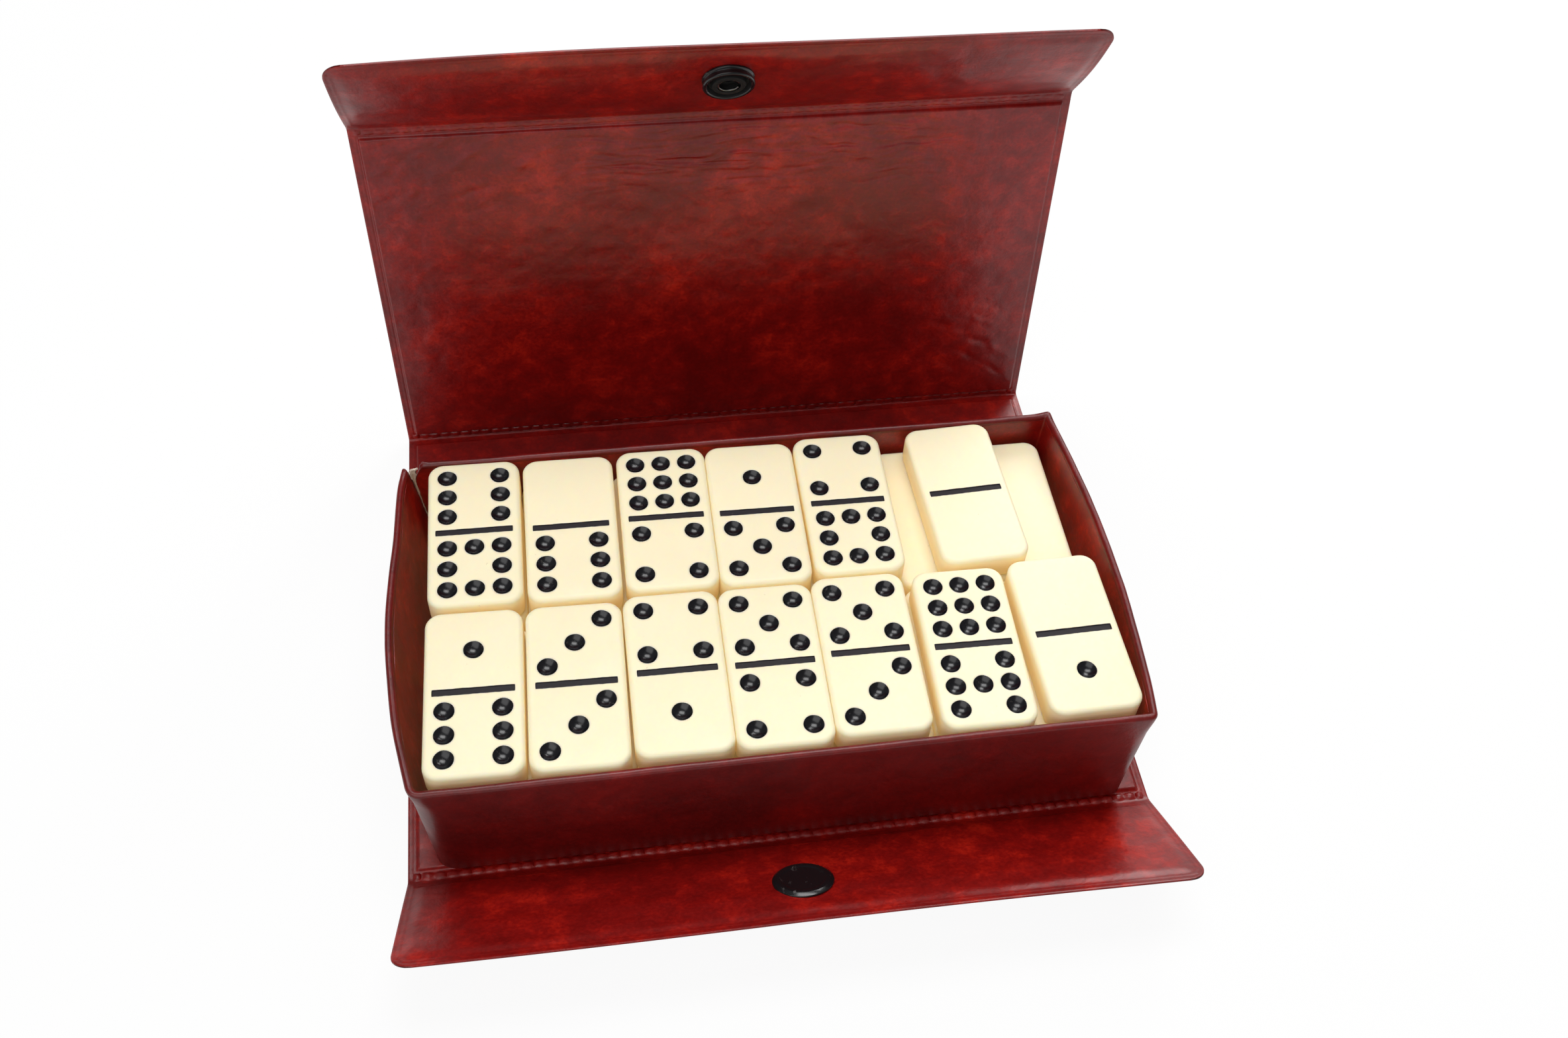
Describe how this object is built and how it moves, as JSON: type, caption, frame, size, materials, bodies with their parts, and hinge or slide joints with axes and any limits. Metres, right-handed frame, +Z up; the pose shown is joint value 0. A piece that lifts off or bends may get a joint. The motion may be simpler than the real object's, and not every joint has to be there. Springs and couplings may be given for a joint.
{
  "type": "domino storage box",
  "caption": "Folding vinyl case with a bowed open tray, a hinged spine, a lid and a snap flap, holding layers of dominoes under pipped top tiles.",
  "frame": {"origin": "on the table, under the middle of the tray, on the underside of the base panel", "axes": "+X along the tray to the right, +Y to the rear towards the lid, +Z up"},
  "size_m": [0.1944, 0.1845, 0.1389],
  "materials": {
    "vinyl_outside": "semi-gloss mottled burgundy vinyl, leather grained",
    "vinyl_inside": "semi-gloss mottled burgundy vinyl, leather grained, wrinkled",
    "greyboard": "raw greyboard, matt",
    "black_snap": "black lacquered brass, satin",
    "spring_steel": "drawn wire",
    "ivory_resin": "polished cast resin with black enamelled pips"
  },
  "bodies": {
    "base": {"base_outer_skin": "vinyl_outside", "base_board": "greyboard", "base_lining": "vinyl_inside", "tray_outer_skin": "vinyl_outside", "tray_lining": "vinyl_inside", "tray_floor_board": "greyboard", "tray_front_board": "greyboard", "tray_rear_board": "greyboard", "tray_left_board": "greyboard", "tray_right_board": "greyboard"},
    "spine": {"spine_outer_skin": "vinyl_outside", "spine_board": "greyboard", "spine_lining": "vinyl_inside"},
    "lid": {"lid_outer_skin": "vinyl_outside", "lid_board": "greyboard", "lid_lining": "vinyl_inside"},
    "lid_flap": {"lid_flap_outer_skin": "vinyl_outside", "lid_flap_card": "greyboard", "lid_flap_lining": "vinyl_inside", "socket_cap": "black_snap", "snap_socket": "black_snap", "socket_spring": "spring_steel"},
    "front_flap": {"front_flap_outer_skin": "vinyl_outside", "front_flap_card": "greyboard", "front_flap_lining": "vinyl_inside", "stud_cap": "black_snap", "snap_stud": "black_snap"},
    "tile_layer_1": {"tile_layer_1": "ivory_resin"},
    "tile_layer_2": {"tile_layer_2": "ivory_resin"},
    "tile_layer_3": {"tile_layer_3": "ivory_resin"},
    "tile_1_6": {"tile_1_6": "ivory_resin"},
    "tile_3_3": {"tile_3_3": "ivory_resin"},
    "tile_4_1": {"tile_4_1": "ivory_resin"},
    "tile_5_4": {"tile_5_4": "ivory_resin"},
    "tile_5_3": {"tile_5_3": "ivory_resin"},
    "tile_9_7": {"tile_9_7": "ivory_resin"},
    "tile_0_1": {"tile_0_1": "ivory_resin"},
    "tile_6_8": {"tile_6_8": "ivory_resin"},
    "tile_0_6": {"tile_0_6": "ivory_resin"},
    "tile_9_4": {"tile_9_4": "ivory_resin"},
    "tile_1_5": {"tile_1_5": "ivory_resin"},
    "tile_4_8": {"tile_4_8": "ivory_resin"},
    "tile_0_0": {"tile_0_0": "ivory_resin"}
  },
  "joints": [
    {"name": "spine_hinge", "type": "hinge", "parent": "base", "child": "spine", "pos_m": [0, 0.05225, 0.00045], "axis": [1, 0, 0], "range_deg": [0, 90]},
    {"name": "lid_hinge", "type": "hinge", "parent": "spine", "child": "lid", "pos_m": [0, 0.091, 0.00045], "axis": [1, 0, 0], "range_deg": [-85.8, 4.2]},
    {"name": "lid_flap_hinge", "type": "hinge", "parent": "lid", "child": "lid_flap", "pos_m": [0, 0.09904, 0.10988], "axis": [1, 0, 0], "range_deg": [-23.8, 58.2]},
    {"name": "front_flap_hinge", "type": "hinge", "parent": "base", "child": "front_flap", "pos_m": [0, -0.05427, 0.00045], "axis": [-1, 0, 0], "range_deg": [-26.4, 57.4]},
    {"name": "layer_1_lift", "type": "slide", "parent": "base", "child": "tile_layer_1", "axis": [0, 0, -1], "range_m": [-0.045, 0]},
    {"name": "layer_2_lift", "type": "slide", "parent": "tile_layer_1", "child": "tile_layer_2", "axis": [0, 0, -1], "range_m": [-0.045, 0]},
    {"name": "layer_3_lift", "type": "slide", "parent": "tile_layer_2", "child": "tile_layer_3", "axis": [0, 0, -1], "range_m": [-0.045, 0]},
    {"name": "tile_1_6_lift", "type": "slide", "parent": "tile_layer_3", "child": "tile_1_6", "axis": [0, 0, -1], "range_m": [-0.045, 0]},
    {"name": "tile_3_3_lift", "type": "slide", "parent": "tile_layer_3", "child": "tile_3_3", "axis": [0, 0, -1], "range_m": [-0.045, 0]},
    {"name": "tile_4_1_lift", "type": "slide", "parent": "tile_layer_3", "child": "tile_4_1", "axis": [0, 0, -1], "range_m": [-0.045, 0]},
    {"name": "tile_5_4_lift", "type": "slide", "parent": "tile_layer_3", "child": "tile_5_4", "axis": [0, 0, -1], "range_m": [-0.045, 0]},
    {"name": "tile_5_3_lift", "type": "slide", "parent": "tile_layer_3", "child": "tile_5_3", "axis": [0, 0, -1], "range_m": [-0.045, 0]},
    {"name": "tile_9_7_lift", "type": "slide", "parent": "tile_layer_3", "child": "tile_9_7", "axis": [0, 0, -1], "range_m": [-0.045, 0]},
    {"name": "tile_0_1_lift", "type": "slide", "parent": "tile_layer_3", "child": "tile_0_1", "axis": [0, 0, -1], "range_m": [-0.045, 0]},
    {"name": "tile_6_8_lift", "type": "slide", "parent": "tile_layer_3", "child": "tile_6_8", "axis": [0, 0, -1], "range_m": [-0.045, 0]},
    {"name": "tile_0_6_lift", "type": "slide", "parent": "tile_layer_3", "child": "tile_0_6", "axis": [0, 0, -1], "range_m": [-0.045, 0]},
    {"name": "tile_9_4_lift", "type": "slide", "parent": "tile_layer_3", "child": "tile_9_4", "axis": [0, 0, -1], "range_m": [-0.045, 0]},
    {"name": "tile_1_5_lift", "type": "slide", "parent": "tile_layer_3", "child": "tile_1_5", "axis": [0, 0, -1], "range_m": [-0.045, 0]},
    {"name": "tile_4_8_lift", "type": "slide", "parent": "tile_layer_3", "child": "tile_4_8", "axis": [0, 0, -1], "range_m": [-0.045, 0]},
    {"name": "tile_0_0_lift", "type": "slide", "parent": "tile_layer_3", "child": "tile_0_0", "axis": [0, 0, -1], "range_m": [-0.045, 0]}
  ]
}
